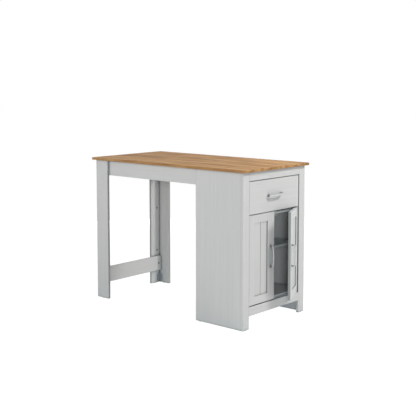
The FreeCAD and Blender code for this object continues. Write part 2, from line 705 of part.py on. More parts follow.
def top_angles():
    """Angles along the left side of the table, with one at the middle of the leg end."""
    angles = []
    for x in (x_leg_inner + TOP_ANGLE_END_DISTANCE, x_cabinet_back - TOP_ANGLE_END_DISTANCE):
        angles.append(top_angle(V(x, -y_inner + BOARD, z_under_top), Y, X))
    x_middle = (x_back_inner + x_frame_back) / 2
    angles.append(top_angle(V(x_middle, -y_inner, z_under_top), Y, X))
    return angles


# Assembly
def frame_nodes():
    """Every fixed piece, with the boards drilled for what joins them."""
    cams = [cam_fixing(*place) for place in frame_cam_places()]
    pegs, peg_bores = face_frame_dowels()
    board_pegs, board_peg_bores = board_dowels()
    pins, pin_bores = shelf_pins()
    low_plate, low_pin, washer, low_housing = lower_hinge()
    high_plate, high_pin, high_housing = upper_hinge()
    channel, front_shoe, _, _ = drawer_slide()
    bores = peg_bores + board_peg_bores + pin_bores
    cutters = [cam[2] for cam in cams] + bores + [low_housing, high_housing]
    all_cutters = cutters + [mirrored(cutter) for cutter in cutters]
    leg_side, leg_end = leg_boards()
    left_boards = {
        "leg_side_board": leg_side,
        "leg_end_board": leg_end,
        "apron": left_apron(),
        "cabinet_side": cabinet_side(),
        "stile": stile(),
        "runner_batten": runner_batten(),
    }
    nodes = {"table_top": [table_top()]}
    for name, plank in left_boards.items():
        drilled = bored(plank, cutters)
        nodes["left_" + name] = [drilled]
        nodes["right_" + name] = [mirrored(drilled)]
    for name, plank in cross_boards().items():
        nodes[name] = [bored(plank, all_cutters)]
    end_angle = top_angle(V(x_leg_inner + BOARD, 0, z_under_top), X, Y)
    pairs = {
        "cam_locks": [cam[0] for cam in cams],
        "cam_bolts": [cam[1] for cam in cams],
        "face_frame_dowels": pegs,
        "board_dowels": board_pegs,
        "shelf_pins": pins,
        "lower_hinge_plates": [low_plate],
        "upper_hinge_plates": [high_plate],
        "hinge_pins": [low_pin, high_pin],
        "hinge_washers": [washer],
        "drawer_channels": [channel],
        "channel_shoes": [front_shoe],
        "door_catches": [door_catch()],
        "foot_brackets": [foot_bracket()],
        "glides": glides(),
        "top_angles": top_angles(),
    }
    for name, solids in pairs.items():
        nodes[name] = solids + [mirrored(solid) for solid in solids]
    nodes["top_angles"].append(end_angle)
    return nodes


def moving_nodes():
    """The drawer, the closed left door and the right door, which stands ajar."""
    nodes = drawer_box()
    _, _, strip, rear_shoe = drawer_slide()
    nodes["drawer_slide_strips"] = both(strip)
    nodes["drawer_slide_shoes"] = both(rear_shoe)
    for name, solids in left_door().items():
        nodes["left_door_" + name] = solids
        nodes["right_door_" + name] = [ajar(mirrored(solid)) for solid in solids]
    return nodes


def export(nodes):
    os.makedirs("parts", exist_ok=True)
    for name, solids in nodes.items():
        shape = solids[0] if len(solids) == 1 else Part.makeCompound(solids)
        shape.exportStep("parts/" + name + ".step")


export({**frame_nodes(), **moving_nodes()})
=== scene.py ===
import json
import math

import bpy
from bpy.props import FloatProperty, FloatVectorProperty, PointerProperty
from mathutils import Matrix, Vector


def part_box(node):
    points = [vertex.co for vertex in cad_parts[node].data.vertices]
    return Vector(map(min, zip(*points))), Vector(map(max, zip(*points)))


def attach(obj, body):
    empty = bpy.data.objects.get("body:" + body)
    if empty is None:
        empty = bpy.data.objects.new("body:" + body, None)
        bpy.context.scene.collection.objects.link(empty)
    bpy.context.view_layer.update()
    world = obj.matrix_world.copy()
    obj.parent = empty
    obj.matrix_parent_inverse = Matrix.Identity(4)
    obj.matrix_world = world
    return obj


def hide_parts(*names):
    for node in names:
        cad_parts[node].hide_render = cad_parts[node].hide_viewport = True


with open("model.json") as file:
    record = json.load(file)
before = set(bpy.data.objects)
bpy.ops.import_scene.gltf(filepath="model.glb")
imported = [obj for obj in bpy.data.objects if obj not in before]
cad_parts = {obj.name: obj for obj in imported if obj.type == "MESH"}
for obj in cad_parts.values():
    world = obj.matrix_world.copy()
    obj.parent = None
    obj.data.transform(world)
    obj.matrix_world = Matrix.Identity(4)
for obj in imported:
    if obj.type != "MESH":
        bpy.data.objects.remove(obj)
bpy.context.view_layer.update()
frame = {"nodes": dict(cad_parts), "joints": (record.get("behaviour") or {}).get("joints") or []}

bl_info = {
    "name": "Kitchen table with cabinet",
    "version": (1, 0, 0),
    "blender": (4, 5, 0),
    "location": "3D View > Sidebar > Table",
    "description": "Finishes, handles, fasteners and studio for a kitchen table with a cabinet",
    "category": "Object",
}

MM = 0.001

# Most values of a noise texture lie between these two
NOISE_LOW = 0.3
NOISE_HIGH = 0.7

# Rays that feel for nearby walls from each point of a surface
OCCLUSION_RAYS = 4

# Grain and relief of the grey foil
FOIL_STREAK_LENGTH = 400 * MM
FOIL_PORE_SPACING = 0.7 * MM
FOIL_PORE_LENGTH = 14 * MM
FOIL_RELIEF = 0.05 * MM

# Grain and relief of the oak print
OAK_DRIFT_WIDTH = 60 * MM
OAK_DRIFT_LENGTH = 700 * MM
OAK_LINE_LENGTH = 420 * MM
OAK_LINE_WARP = 2.4
OAK_PORE_LENGTH = 45 * MM
OAK_RELIEF = 0.06 * MM

# Brushing of the metals, and how far from a front the nickel is painted with shade
BRUSH_LENGTH = 30 * MM
NICKEL_BRUSH_SPACING = 0.5 * MM
FEET_SHADE_REACH = 30 * MM

# Fineness of the swept handles and the round heads
CORNER_STEPS = 10
BOW_STEPS = 12
EDGE_STEPS = 4
HEAD_SIDES = 28

# Length, width and depth of each cross recess
CAM_SLOT = (9.5 * MM, 2.2 * MM, 2.5 * MM)
PLATE_SCREW_SLOT = (3.4 * MM, 0.9 * MM, 0.9 * MM)
HANDLE_SCREW_SLOT = (4.4 * MM, 1.1 * MM, 1.3 * MM)
EDGE_PIN_SLOT = (3 * MM, 0.8 * MM, 0.5 * MM)

# Radius of each head's crown next to that of its rim
PLATE_SCREW_CROWN = 0.75
HANDLE_SCREW_CROWN = 0.7
EDGE_PIN_CROWN = 0.8

# Places of the small fasteners on what they hold. A bracket's screws are given by their rise from its foot
# and their distance from its corner, and the end angle is the one that stands near the middle plane.
BRACKET_SHEET = 2 * MM
BRACKET_SCREW_RISES_AND_OUTS = ((9 * MM, 17 * MM), (40 * MM, 8 * MM))
ANGLE_SHEET = 1.5 * MM
ANGLE_SCREW_RISE = 8 * MM
ANGLE_SCREW_OUT = 12 * MM
END_ANGLE_OFF_MIDDLE = 50 * MM
CATCH_SCREW_STEP = 10 * MM
EDGE_PIN_DROPS = (5 * MM, 16 * MM)
EDGE_PIN_FROM_BACK = 10 * MM
EDGE_PIN_HEIGHT = 0.8 * MM

# Corners of a mesh that are closer than this are one point
SAME_POINT = 0.01 * MM


def linear(code):
    """A #RRGGBB colour as the linear values that shaders take."""
    parts = [int(code[i:i + 2], 16) / 255 for i in (1, 3, 5)]
    return [p / 12.92 if p <= 0.04045 else ((p + 0.055) / 1.055) ** 2.4 for p in parts] + [1.0]


def colour(name, description, code):
    return FloatVectorProperty(
        name=name, description=description, subtype="COLOR", size=4, min=0, max=1, default=linear(code))


def length(name, description, millimetres):
    return FloatProperty(
        name=name, description=description, subtype="DISTANCE", unit="LENGTH", default=millimetres * MM)


def share(name, description, value):
    return FloatProperty(name=name, description=description, subtype="FACTOR", min=0, max=1, default=value)


def power(name, description, watts):
    return FloatProperty(name=name, description=description, unit="POWER", default=watts)


class TABLE_PG_oak_top(bpy.types.PropertyGroup):
    """Oak-effect laminate of the table top."""
    light: colour("Early wood", "Pale wood between the growth lines", "#E4B680")
    dark: colour("Late wood", "Darker growth lines", "#B28357")
    pore: colour("Pores", "Short dark strokes along the grain", "#86603C")
    # Painted shade: the top's edges are painted darker than its face
    edge_shade_tone: share("Edge tone", "Brightness of the edge band next to that of the top", 0.67)
    line_spacing: length("Growth line spacing", "Distance between growth lines across the board", 30)
    pore_spacing: length("Pore spacing", "Distance between pore strokes across the board", 2.6)
    roughness: share("Roughness", "Roughness of the satin laminate", 0.46)


class TABLE_PG_grey_board(bpy.types.PropertyGroup):
    """Light grey melamine-faced board of the frame, doors and drawer."""
    face: colour("Face", "Light grey of the boards", "#C8CACA")
    streak: colour("Streak", "Slightly deeper grey of the printed grain", "#C2C4C4")
    # Painted shade: the edges of leg and door boards are painted this deeper grey
    painted_shade_band: colour("Edge band", "Deeper grey of the bands on the edges of legs and doors", "#989B9C")
    # Painted shade: gaps, grooves and inside corners are painted towards this dark grey, within this reach
    crevice_shade: colour("Crevice", "Grey of gaps, grooves and inside corners", "#4C5155")
    crevice_shade_reach: length("Crevice reach", "How far from a gap or corner the boards look darker", 18)
    # Painted shade: faces closed in by walls within this reach, as inside the cabinet, are painted this
    # cooler grey
    inside: colour("Inside", "Cooler grey of the foil on closed-in faces", "#B9C3C9")
    inside_shade_reach: length("Inside reach", "How near the other walls of a closed-in face stand", 250)
    grain_spacing: length("Grain spacing", "Distance between grain streaks across a board", 7)
    roughness: share("Roughness", "Roughness of the satin melamine", 0.42)


class TABLE_PG_metals(bpy.types.PropertyGroup):
    """Metal, plastic and wood of the fittings."""
    nickel: colour("Nickel", "Brushed nickel of the handles", "#D2D4D5")
    # Painted shade: the handle's feet next to the fronts are painted towards this dark grey
    feet_shade: colour("Tarnish", "Duller nickel close to the fronts", "#4A4E52")
    zinc: colour("Zinc plate", "Zinc-plated steel of plates and screws", "#A9AFB6")
    cast: colour("Cast zinc", "Die-cast cams", "#7E8388")
    steel: colour("Steel", "Blue-grey passivated steel of the foot brackets", "#8C959B")
    nylon: colour("Nylon", "Moulded nylon of glides, washers and shoes", "#B9BABA")
    catch: colour("Catch", "Grey plastic body of the magnetic catches", "#7D8184")
    hardboard: colour("Hardboard", "Lacquered hardboard of the drawer bottom", "#C4C6C6")
    beech: colour("Beech", "Raw beech dowels", "#CDA97E")


class TABLE_PG_handles(bpy.types.PropertyGroup):
    """Bow handles of the drawer and doors."""
    span: length("Span", "Distance between the middles of the feet", 118)
    reach: length("Reach", "Middle of the bar from the front at the crown", 22)
    width: length("Width", "Width of the bar", 12)
    thickness: length("Thickness", "Thickness of the bar", 7)
    edge: length("Edge radius", "Radius of the bar's long edges", 1.5)
    corner: length("Corner radius", "Radius of the bends over the feet", 9)
    bow: length("Bow radius", "Radius of the long bow", 500)


class TABLE_PG_fasteners(bpy.types.PropertyGroup):
    """Cross-head screws and cam locks."""
    plate_screw: length("Plate screw radius", "Head radius of the screws in plates and angles", 3.2)
    plate_screw_height: length("Plate screw height", "Height of those heads", 1.6)
    handle_screw: length("Handle screw radius", "Head radius of the screws behind the handles", 4)
    handle_screw_height: length("Handle screw height", "Height of those heads", 2.5)
    edge_pin: length("Edge pin radius", "Radius of the pins in the free edges of the doors", 2.8)
    cam: length("Cam radius", "Radius of the cam locks", 7.4)
    cam_depth: length("Cam depth", "Depth of the cam locks", 10)


class TABLE_PG_studio(bpy.types.PropertyGroup):
    """Light and floor of the studio."""
    key: power("Key", "Light from over the right-hand side of the doors", 90)
    side: power("Side fill", "Soft light on the left side", 16.5)
    front: power("Front fill", "Soft light from the camera's side", 57)
    back: power("Back fill", "Soft light from behind the legs", 15)
    ambient: FloatProperty(name="Ambient", description="Strength of the surrounding light", default=0.2)
    floor: colour("Floor", "Pale floor", "#F2F2F2")
    shade: share("Floor shade", "How much of the shadow the camera sees on the floor", 0.25)


GROUPS = {
    "table_oak_top": TABLE_PG_oak_top,
    "table_grey_board": TABLE_PG_grey_board,
    "table_metals": TABLE_PG_metals,
    "table_handles": TABLE_PG_handles,
    "table_fasteners": TABLE_PG_fasteners,
    "table_studio": TABLE_PG_studio,
}


def node(tree, kind, inputs=None, **settings):
    """Adds a node with its settings, and puts values or links on its inputs."""
    made = tree.nodes.new(kind)
    for key, value in settings.items():
        setattr(made, key, value)
    for key, value in (inputs or {}).items():
        if isinstance(value, bpy.types.NodeSocket):
            tree.links.new(value, made.inputs[key])
        else:
            made.inputs[key].default_value = value
    return made


def blank_material(name):
    """A new material with an empty tree."""
    made = bpy.data.materials.new(name)
    made.use_nodes = True
    made.node_tree.nodes.clear()
    return made, made.node_tree


def dress(name, material):
    """Gives a CAD node one material."""
    mesh = frame["nodes"][name].data
    mesh.materials.clear()
    mesh.materials.append(material)


def stretched(tree, grain_axis, across, along):
    """Object coordinates scaled so that one unit is a step across the grain, or a longer one along it."""
    coords = node(tree, "ShaderNodeTexCoord")
    scale = [1 / across] * 3
    scale[grain_axis] = 1 / along
    mapped = node(tree, "ShaderNodeMapping", {"Vector": coords.outputs["Object"], "Scale": scale})
    return mapped.outputs["Vector"]


# Light grey melamine on chipboard. The foil is printed with a faint straight grain along the board and
# pressed with shallow pores, so it looks matt and even, with soft wide reflections. Painted shade: edges that
# face along one given axis are a deeper grey, closed-in faces a cooler grey, and gaps and corners darker.
def grey_board(name, grain_axis, shaded_edge_axis=None):
    look = bpy.context.scene.table_grey_board
    made, tree = blank_material("grey_melamine_" + name)
    wide = stretched(tree, grain_axis, look.grain_spacing, FOIL_STREAK_LENGTH)
    streaks = node(tree, "ShaderNodeTexNoise", {
        "Vector": wide, "Scale": 1.0, "Detail": 4.0, "Roughness": 0.55})
    tone = node(tree, "ShaderNodeMapRange", {
        "Value": streaks.outputs["Fac"], "From Min": NOISE_LOW, "From Max": NOISE_HIGH})
    face = node(tree, "ShaderNodeMix", {
        "Factor": tone.outputs["Result"], "A": look.streak, "B": look.face}, data_type="RGBA")
    # Painted shade: edges that face along the given axis are painted the deeper grey
    if shaded_edge_axis is not None:
        coords = node(tree, "ShaderNodeTexCoord")
        facing = node(tree, "ShaderNodeSeparateXYZ", {"Vector": coords.outputs["Normal"]})
        square = node(tree, "ShaderNodeMath", {
            0: facing.outputs[shaded_edge_axis], 1: facing.outputs[shaded_edge_axis]}, operation="MULTIPLY")
        edge_shade_share = node(tree, "ShaderNodeMapRange", {
            "Value": square.outputs["Value"], "From Min": 0.4, "From Max": 0.8})
        face = node(tree, "ShaderNodeMix", {
            "Factor": edge_shade_share.outputs["Result"], "A": face.outputs["Result"], "B": look.painted_shade_band},
            data_type="RGBA")
    # Painted shade: closed-in faces are painted the cooler grey of shade
    inside_shade_occlusion = node(tree, "ShaderNodeAmbientOcclusion", {"Distance": look.inside_shade_reach}, samples=OCCLUSION_RAYS)
    clear_of_inside_shade = node(tree, "ShaderNodeMapRange", {
        "Value": inside_shade_occlusion.outputs["AO"], "From Min": 0.2, "From Max": 0.5})
    foil = node(tree, "ShaderNodeMix", {
        "Factor": clear_of_inside_shade.outputs["Result"], "A": look.inside, "B": face.outputs["Result"]}, data_type="RGBA")
    # Painted shade: the less open a point is within the reach, the nearer to the dark grey it is painted
    shade_occlusion = node(tree, "ShaderNodeAmbientOcclusion", {
        "Distance": look.crevice_shade_reach}, samples=OCCLUSION_RAYS)
    clear = node(tree, "ShaderNodeMapRange", {
        "Value": shade_occlusion.outputs["AO"], "From Min": 0.25, "From Max": 0.85})
    board = node(tree, "ShaderNodeMix", {
        "Factor": clear.outputs["Result"], "A": look.crevice_shade, "B": foil.outputs["Result"]}, data_type="RGBA")
    fine = stretched(tree, grain_axis, FOIL_PORE_SPACING, FOIL_PORE_LENGTH)
    pores = node(tree, "ShaderNodeTexNoise", {"Vector": fine, "Scale": 1.0, "Detail": 2.0})
    sheen = node(tree, "ShaderNodeMapRange", {
        "Value": pores.outputs["Fac"], "To Min": look.roughness - 0.07, "To Max": look.roughness + 0.07})
    relief = node(tree, "ShaderNodeBump", {
        "Strength": 0.12, "Distance": FOIL_RELIEF, "Height": pores.outputs["Fac"]})
    shader = node(tree, "ShaderNodeBsdfPrincipled", {
        "Base Color": board.outputs["Result"], "Roughness": sheen.outputs["Result"],
        "Normal": relief.outputs["Normal"], "IOR": 1.5})
    node(tree, "ShaderNodeOutputMaterial", {"Surface": shader.outputs["BSDF"]})
    return made


# Oak-effect laminate. The printed decor has cathedral growth lines, short pores along the length and slow
# shifts of tone, under a satin melamine skin that gives soft reflections. Real pores are finer: they are
# drawn as coarse as they need to show.
def oak_laminate():
    look = bpy.context.scene.table_oak_top
    made, tree = blank_material("oak_laminate")
    slow = stretched(tree, 0, OAK_DRIFT_WIDTH, OAK_DRIFT_LENGTH)
    drift = node(tree, "ShaderNodeTexNoise", {"Vector": slow, "Scale": 1.0, "Detail": 2.0})
    lines = stretched(tree, 0, look.line_spacing, OAK_LINE_LENGTH)
    warp = node(tree, "ShaderNodeVectorMath", {
        0: drift.outputs["Color"], "Scale": OAK_LINE_WARP}, operation="SCALE")
    bent = node(tree, "ShaderNodeVectorMath", {0: lines, 1: warp.outputs["Vector"]}, operation="ADD")
    growth = node(tree, "ShaderNodeTexNoise", {
        "Vector": bent.outputs["Vector"], "Scale": 1.0, "Detail": 5.0, "Roughness": 0.6})
    bands = node(tree, "ShaderNodeMapRange", {
        "Value": growth.outputs["Fac"], "From Min": 0.38, "From Max": 0.62})
    wood = node(tree, "ShaderNodeMix", {
        "Factor": bands.outputs["Result"], "A": look.dark, "B": look.light}, data_type="RGBA")
    strokes = stretched(tree, 0, look.pore_spacing, OAK_PORE_LENGTH)
    pores = node(tree, "ShaderNodeTexNoise", {
        "Vector": strokes, "Scale": 1.0, "Detail": 3.0, "Roughness": 0.6})
    stroke = node(tree, "ShaderNodeMapRange", {
        "Value": pores.outputs["Fac"], "From Min": 0.58, "From Max": 0.72, "To Min": 0.0, "To Max": 0.55})
    printed = node(tree, "ShaderNodeMix", {
        "Factor": stroke.outputs["Result"], "A": wood.outputs["Result"], "B": look.pore}, data_type="RGBA")
    tone = node(tree, "ShaderNodeMapRange", {
        "Value": drift.outputs["Fac"], "From Min": NOISE_LOW, "From Max": NOISE_HIGH,
        "To Min": 0.9, "To Max": 1.08})
    # Painted shade: faces that do not face up are painted darker, down to the edge tone
    coords = node(tree, "ShaderNodeTexCoord")
    facing = node(tree, "ShaderNodeSeparateXYZ", {"Vector": coords.outputs["Normal"]})
    painted_shade_band = node(tree, "ShaderNodeMapRange", {
        "Value": facing.outputs["Z"], "From Min": 0.3, "From Max": 0.7, "To Min": look.edge_shade_tone})
    value = node(tree, "ShaderNodeMath", {
        0: tone.outputs["Result"], 1: painted_shade_band.outputs["Result"]}, operation="MULTIPLY")
    tint = node(tree, "ShaderNodeHueSaturation", {
        "Color": printed.outputs["Result"], "Value": value.outputs["Value"]})
    sheen = node(tree, "ShaderNodeMapRange", {
        "Value": pores.outputs["Fac"], "To Min": look.roughness - 0.06, "To Max": look.roughness + 0.08})
    relief = node(tree, "ShaderNodeBump", {
        "Strength": 0.15, "Distance": OAK_RELIEF, "Height": pores.outputs["Fac"]})
    shader = node(tree, "ShaderNodeBsdfPrincipled", {
        "Base Color": tint.outputs["Color"], "Roughness": sheen.outputs["Result"],
        "Normal": relief.outputs["Normal"], "IOR": 1.5, "Specular IOR Level": 0.02})
    node(tree, "ShaderNodeOutputMaterial", {"Surface": shader.outputs["BSDF"]})
    return made


# Brushed nickel of the handles, brushed along the bar. Painted shade darkens it where the feet meet the
# front.
def handle_nickel(body, grain_axis):
    look = bpy.context.scene.table_metals
    made, tree = blank_material("brushed_nickel_" + body)
    streaks = stretched(tree, grain_axis, NICKEL_BRUSH_SPACING, BRUSH_LENGTH)
    brushed = node(tree, "ShaderNodeTexNoise", {"Vector": streaks, "Scale": 1.0, "Detail": 3.0})
    sheen = node(tree, "ShaderNodeMapRange", {"Value": brushed.outputs["Fac"], "To Min": 0.34, "To Max": 0.5})
    shade = node(tree, "ShaderNodeMapRange", {
        "Value": brushed.outputs["Fac"], "From Min": NOISE_LOW, "From Max": NOISE_HIGH,
        "To Min": 0.9, "To Max": 1.05})
    bar = node(tree, "ShaderNodeHueSaturation", {"Color": look.nickel, "Value": shade.outputs["Result"]})
    # Painted shade: the nickel is painted darker where the front is near
    shade_occlusion = node(tree, "ShaderNodeAmbientOcclusion", {"Distance": FEET_SHADE_REACH}, samples=OCCLUSION_RAYS)
    clear = node(tree, "ShaderNodeMapRange", {
        "Value": shade_occlusion.outputs["AO"], "From Min": 0.45, "From Max": 0.92})
    face = node(tree, "ShaderNodeMix", {
        "Factor": clear.outputs["Result"], "A": look.feet_shade, "B": bar.outputs["Color"]}, data_type="RGBA")
    shader = node(tree, "ShaderNodeBsdfPrincipled", {
        "Base Color": face.outputs["Result"], "Metallic": 1.0, "Roughness": sheen.outputs["Result"]})
    node(tree, "ShaderNodeOutputMaterial", {"Surface": shader.outputs["BSDF"]})
    return made


# Metals of the fittings. Brushing or plating leaves fine streaks that vary the gloss along one axis.
def metal(name, tone, grain_axis, roughness, streak_width):
    made, tree = blank_material(name)
    streaks = stretched(tree, grain_axis, streak_width, BRUSH_LENGTH)
    brushed = node(tree, "ShaderNodeTexNoise", {"Vector": streaks, "Scale": 1.0, "Detail": 3.0})
    sheen = node(tree, "ShaderNodeMapRange", {
        "Value": brushed.outputs["Fac"], "To Min": roughness - 0.08, "To Max": roughness + 0.08})
    shade = node(tree, "ShaderNodeMapRange", {
        "Value": brushed.outputs["Fac"], "From Min": NOISE_LOW, "From Max": NOISE_HIGH,
        "To Min": 0.9, "To Max": 1.05})
    face = node(tree, "ShaderNodeHueSaturation", {"Color": tone, "Value": shade.outputs["Result"]})
    shader = node(tree, "ShaderNodeBsdfPrincipled", {
        "Base Color": face.outputs["Color"], "Metallic": 1.0, "Roughness": sheen.outputs["Result"]})
    node(tree, "ShaderNodeOutputMaterial", {"Surface": shader.outputs["BSDF"]})
    return made


# Plain moulded, pressed or turned materials: a faint mottle in colour and gloss keeps them from looking flat.
def mottled(name, tone, roughness, mottle_size, grain_axis=2, stretch=1.0):
    made, tree = blank_material(name)
    spots = stretched(tree, grain_axis, mottle_size, mottle_size * stretch)
    mottle = node(tree, "ShaderNodeTexNoise", {"Vector": spots, "Scale": 1.0, "Detail": 3.0})
    shade = node(tree, "ShaderNodeMapRange", {
        "Value": mottle.outputs["Fac"], "From Min": NOISE_LOW, "From Max": NOISE_HIGH,
        "To Min": 0.94, "To Max": 1.04})
    face = node(tree, "ShaderNodeHueSaturation", {"Color": tone, "Value": shade.outputs["Result"]})
    sheen = node(tree, "ShaderNodeMapRange", {
        "Value": mottle.outputs["Fac"], "To Min": roughness - 0.05, "To Max": roughness + 0.05})
    shader = node(tree, "ShaderNodeBsdfPrincipled", {
        "Base Color": face.outputs["Color"], "Roughness": sheen.outputs["Result"], "IOR": 1.5})
    node(tree, "ShaderNodeOutputMaterial", {"Surface": shader.outputs["BSDF"]})
    return made


# Each finish of the boards: the axis of its grain, the axis that edges with painted shade face, and the
# boards
BOARD_FINISHES = {
    "along_x": (0, None, (
        "left_apron", "right_apron", "left_runner_batten", "right_runner_batten",
        "drawer_left_side", "drawer_right_side")),
    "along_y": (1, None, (
        "end_apron", "leg_stretcher", "top_rail", "bottom_rail", "divider_rail", "cabinet_bottom",
        "cabinet_shelf", "drawer_front", "drawer_back")),
    "along_z": (2, None, (
        "left_cabinet_side", "right_cabinet_side", "left_stile", "right_stile", "cabinet_back")),
    "door": (2, 1, ("left_door_panel", "right_door_panel")),
    "leg_side": (2, 0, ("left_leg_side_board", "right_leg_side_board")),
    "leg_end": (2, 1, ("left_leg_end_board", "right_leg_end_board")),
}


class TABLE_OT_boards(bpy.types.Operator):
    """Gives every board its grey melamine, with the grain along the board"""
    bl_idname = "table.boards"
    bl_label = "Grey boards"

    def execute(self, context):
        for finish, (grain_axis, shaded_edge_axis, names) in BOARD_FINISHES.items():
            melamine = grey_board(finish, grain_axis, shaded_edge_axis)
            for name in names:
                dress(name, melamine)
        return {"FINISHED"}


class TABLE_OT_top(bpy.types.Operator):
    """Gives the table top its oak-effect laminate"""
    bl_idname = "table.top"
    bl_label = "Oak top"

    def execute(self, context):
        dress("table_top", oak_laminate())
        return {"FINISHED"}


class TABLE_OT_fittings(bpy.types.Operator):
    """Gives the plates, slides, pins, glides and dowels their materials"""
    bl_idname = "table.fittings"
    bl_label = "Fittings"

    def execute(self, context):
        look = context.scene.table_metals
        zinc = metal("zinc_plated_steel", look.zinc, grain_axis=2, roughness=0.38, streak_width=0.8 * MM)
        for name in ("lower_hinge_plates", "upper_hinge_plates", "hinge_pins", "top_angles",
                     "drawer_channels", "drawer_slide_strips", "shelf_pins", "cam_bolts", "drawer_cam_bolts",
                     "left_door_pivot_plates", "right_door_pivot_plates", "left_door_strike_plate",
                     "right_door_strike_plate"):
            dress(name, zinc)
        steel = mottled("passivated_steel", look.steel, roughness=0.5, mottle_size=1.2 * MM)
        dress("foot_brackets", steel)
        nylon = mottled("moulded_nylon", look.nylon, roughness=0.45, mottle_size=1.5 * MM)
        for name in ("glides", "hinge_washers", "channel_shoes", "drawer_slide_shoes"):
            dress(name, nylon)
        plastic = mottled("catch_plastic", look.catch, roughness=0.5, mottle_size=1.5 * MM)
        dress("door_catches", plastic)
        hardboard = mottled("lacquered_hardboard", look.hardboard, roughness=0.5, mottle_size=2 * MM)
        dress("drawer_bottom", hardboard)
        beech = mottled("raw_beech", look.beech, roughness=0.6, mottle_size=0.8 * MM, grain_axis=1,
                        stretch=12.0)
        dress("face_frame_dowels", beech)
        dress("board_dowels", beech)
        return {"FINISHED"}


def tree_with_inputs(name, sizes):
    """A geometry tree with inputs for a geometry, each size and a material, and a geometry output."""
    tree = bpy.data.node_groups.new(name, "GeometryNodeTree")
    tree.interface.new_socket("Geometry", in_out="INPUT", socket_type="NodeSocketGeometry")
    for size in sizes:
        tree.interface.new_socket(size, in_out="INPUT", socket_type="NodeSocketFloat")
    tree.interface.new_socket("Material", in_out="INPUT", socket_type="NodeSocketMaterial")
    tree.interface.new_socket("Geometry", in_out="OUTPUT", socket_type="NodeSocketGeometry")
    return tree, node(tree, "NodeGroupInput")


def finish_tree(tree, given, geometry):
    """Ends a geometry tree in plain geometry with its material."""
    plain = node(tree, "GeometryNodeRealizeInstances", {"Geometry": geometry})
    coated = node(tree, "GeometryNodeSetMaterial", {
        "Geometry": plain.outputs["Geometry"], "Material": given.outputs["Material"]})
    node(tree, "NodeGroupOutput", {"Geometry": coated.outputs["Geometry"]})


def grown(name, base, tree, values):
    """A plain mesh object: the base mesh grown by a geometry tree with these input values."""
    seed = bpy.data.objects.new(name + "_base", base)
    bpy.context.scene.collection.objects.link(seed)
    modifier = seed.modifiers.new(tree.name, "NODES")
    modifier.node_group = tree
    sockets = {s.name: s.identifier for s in tree.interface.items_tree if s.in_out == "INPUT"}
    for key, value in values.items():
        modifier[sockets[key]] = value
    graph = bpy.context.evaluated_depsgraph_get()
    mesh = bpy.data.meshes.new_from_object(seed.evaluated_get(graph))
    mesh.name = name
    seed.modifiers.remove(modifier)
    bpy.data.objects.remove(seed)
    made = bpy.data.objects.new(name, mesh)
    bpy.context.scene.collection.objects.link(made)
    return made


def pointed_mesh(name, spots):
    """A mesh of loose points, each with the direction that its fastener faces."""
    mesh = bpy.data.meshes.new(name)
    mesh.from_pydata([place for place, aim in spots], [], [])
    aims = mesh.attributes.new("aim", "FLOAT_VECTOR", "POINT")
    for item, (place, aim) in zip(aims.data, spots):
        item.vector = aim
    return mesh


HEAD_SIZES = ("Radius", "Crown Radius", "Height", "Slot Length", "Slot Width", "Slot Depth")


def cross_head_tree():
    """A tapered head with a cross recess, standing on each point and facing along its aim."""
    tree, given = tree_with_inputs("cross_head", HEAD_SIZES)
    size = {name: given.outputs[name] for name in HEAD_SIZES}
    head = node(tree, "GeometryNodeMeshCone", {
        "Vertices": HEAD_SIDES, "Radius Top": size["Crown Radius"], "Radius Bottom": size["Radius"],
        "Depth": size["Height"]})
    twice_deep = node(tree, "ShaderNodeMath", {0: size["Slot Depth"], 1: 2.0}, operation="MULTIPLY")
    lift = node(tree, "ShaderNodeCombineXYZ", {"Z": size["Height"]})
    cut = head
    for along_x, along_y in (("Slot Length", "Slot Width"), ("Slot Width", "Slot Length")):
        extent = node(tree, "ShaderNodeCombineXYZ", {
            "X": size[along_x], "Y": size[along_y], "Z": twice_deep.outputs["Value"]})
        bar = node(tree, "GeometryNodeMeshCube", {"Size": extent.outputs["Vector"]})
        raised = node(tree, "GeometryNodeTransform", {
            "Geometry": bar.outputs["Mesh"], "Translation": lift.outputs["Vector"]})
        cut = node(tree, "GeometryNodeMeshBoolean", {
            "Mesh 1": cut.outputs["Mesh"], "Mesh 2": raised.outputs["Geometry"]},
            operation="DIFFERENCE", solver="EXACT")
    aim = node(tree, "GeometryNodeInputNamedAttribute", {"Name": "aim"}, data_type="FLOAT_VECTOR")
    turn = node(tree, "FunctionNodeAlignRotationToVector", {"Vector": aim.outputs["Attribute"]}, axis="Z")
    stood = node(tree, "GeometryNodeInstanceOnPoints", {
        "Points": given.outputs["Geometry"], "Instance": cut.outputs["Mesh"],
        "Rotation": turn.outputs["Rotation"]})
    finish_tree(tree, given, stood.outputs["Instances"])
    return tree


def cross_heads(name, spots, radius, crown, height, slot, material):
    """Cross-recess heads on their points, as one mesh. The slot is its length, width and depth."""
    tree = bpy.data.node_groups.get("cross_head") or cross_head_tree()
    values = {
        "Radius": radius, "Crown Radius": crown, "Height": height, "Slot Length": slot[0],
        "Slot Width": slot[1], "Slot Depth": slot[2], "Material": material,
    }
    return grown(name, pointed_mesh(name + "_points", spots), tree, values)


def joint(name):
    """A joint of the frame by its name."""
    return next(j for j in frame["joints"] if j["name"] == name)


def ajar_turn():
    """The turn that takes a closed right door to its place at rest."""
    hinge = joint("right_door_hinge")
    pivot = Matrix.Translation(hinge["pos_m"])
    return pivot @ Matrix.Rotation(math.radians(-hinge["range_deg"][0]), 4, "Z") @ pivot.inverted()


def mirrored(point):
    """A point or direction on the other side of the table's middle plane."""
    return Vector((point[0], -point[1], point[2]))


def back_middle(box):
    """Middle of the side of a box that faces -X, towards the legs."""
    low, high = box
    return Vector((low.x, (low.y + high.y) / 2, (low.z + high.z) / 2))


